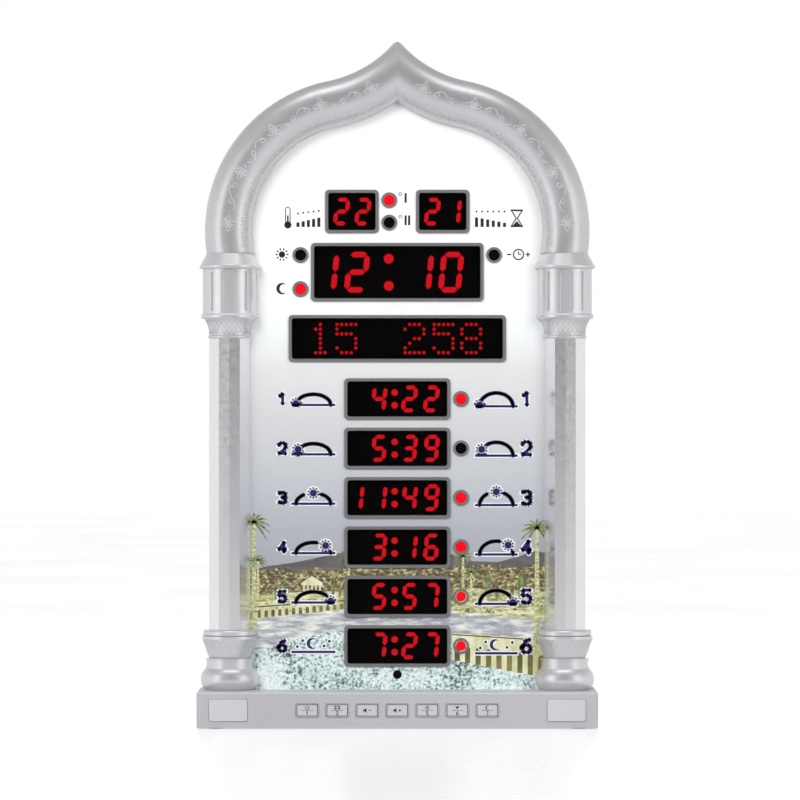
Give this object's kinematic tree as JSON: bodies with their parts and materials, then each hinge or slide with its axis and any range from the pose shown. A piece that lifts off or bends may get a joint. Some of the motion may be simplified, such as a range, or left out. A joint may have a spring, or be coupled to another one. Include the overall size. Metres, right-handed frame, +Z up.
{
  "type": "azan clock",
  "caption": "Wall or shelf clock in an ogee arch on half-round columns, with red digit displays, indicator lamps and a key row in its plinth.",
  "frame": {"origin": "centre of the footprint, on the surface that the feet stand on", "axes": "+X to the right seen from the front, +Y from the front to the wall behind, +Z up"},
  "size_m": [0.298, 0.068, 0.5121],
  "materials": {
    "arch_silver": "satin silver paint on moulded plastic",
    "column_silver": "satin silver paint on moulded plastic",
    "plinth_silver": "satin silver paint on moulded plastic",
    "plate_silver": "satin",
    "key_silver": "satin",
    "housing_plastic": "fine texture",
    "face_print": "glossy printed sheet",
    "bezel_grey": "satin",
    "lens_smoke": "clear, smoked acrylic",
    "display_black": "matte",
    "lamp_red": "gloss",
    "receiver_black": "gloss",
    "board_green": "satin",
    "switch_black": "matte",
    "screw_steel": "zinc plated",
    "speaker_steel": "dull",
    "cone_paper": "matte",
    "inlet_black": "matte",
    "holder_black": "matte",
    "cell_steel": "brushed",
    "foot_rubber": "matte"
  },
  "bodies": {
    "clock": {"arch_moulding": "arch_silver", "battery_holder": "holder_black", "board_screws": "screw_steel", "coin_cell": "cell_steel", "countdown_bezel": "bezel_grey", "countdown_display": "display_black", "countdown_lens": "lens_smoke", "date_bezel": "bezel_grey", "date_display": "display_black", "date_lens": "lens_smoke", "dc_inlet": "inlet_black", "display_board": "board_green", "face_plate": "face_print", "front_frame": "housing_plastic", "housing_screws": "screw_steel", "indicator_lamps": "lamp_red", "indicator_rings": "bezel_grey", "ir_receiver": "receiver_black", "key_board": "board_green", "left_blank_plate": "plate_silver", "left_capital": "column_silver", "left_column_base": "column_silver", "left_column_shaft": "column_silver", "loudspeaker": "speaker_steel", "plinth_bottom_plate": "housing_plastic", "plinth_shell": "plinth_silver", "prayer_1_display": "display_black", "prayer_2_display": "display_black", "prayer_3_display": "display_black", "prayer_4_display": "display_black", "prayer_5_display": "display_black", "prayer_6_display": "display_black", "prayer_bezels": "bezel_grey", "prayer_lenses": "lens_smoke", "rear_housing": "housing_plastic", "right_blank_plate": "plate_silver", "right_capital": "column_silver", "right_column_base": "column_silver", "right_column_shaft": "column_silver", "rubber_feet": "foot_rubber", "speaker_cone": "cone_paper", "tact_switches": "switch_black", "temperature_bezel": "bezel_grey", "temperature_display": "display_black", "temperature_lens": "lens_smoke", "time_bezel": "bezel_grey", "time_display": "display_black", "time_lens": "lens_smoke"},
    "body_key_1": {"key_1": "key_silver"},
    "body_key_2": {"key_2": "key_silver"},
    "body_key_3": {"key_3": "key_silver"},
    "body_key_4": {"key_4": "key_silver"},
    "body_key_5": {"key_5": "key_silver"},
    "body_key_6": {"key_6": "key_silver"},
    "body_key_7": {"key_7": "key_silver"},
    "body_battery_door": {"battery_door": "housing_plastic"}
  },
  "joints": [
    {"name": "key_1_press", "type": "slide", "parent": "clock", "child": "body_key_1", "axis": [0, 1, 0], "range_m": [0, 0.0005], "stiffness_N_per_m": 2000},
    {"name": "key_2_press", "type": "slide", "parent": "clock", "child": "body_key_2", "axis": [0, 1, 0], "range_m": [0, 0.0005], "stiffness_N_per_m": 2000},
    {"name": "key_3_press", "type": "slide", "parent": "clock", "child": "body_key_3", "axis": [0, 1, 0], "range_m": [0, 0.0005], "stiffness_N_per_m": 2000},
    {"name": "key_4_press", "type": "slide", "parent": "clock", "child": "body_key_4", "axis": [0, 1, 0], "range_m": [0, 0.0005], "stiffness_N_per_m": 2000},
    {"name": "key_5_press", "type": "slide", "parent": "clock", "child": "body_key_5", "axis": [0, 1, 0], "range_m": [0, 0.0005], "stiffness_N_per_m": 2000},
    {"name": "key_6_press", "type": "slide", "parent": "clock", "child": "body_key_6", "axis": [0, 1, 0], "range_m": [0, 0.0005], "stiffness_N_per_m": 2000},
    {"name": "key_7_press", "type": "slide", "parent": "clock", "child": "body_key_7", "axis": [0, 1, 0], "range_m": [0, 0.0005], "stiffness_N_per_m": 2000},
    {"name": "battery_door_off", "type": "slide", "parent": "clock", "child": "body_battery_door", "axis": [0, 1, 0], "range_m": [0, 0.015]}
  ]
}
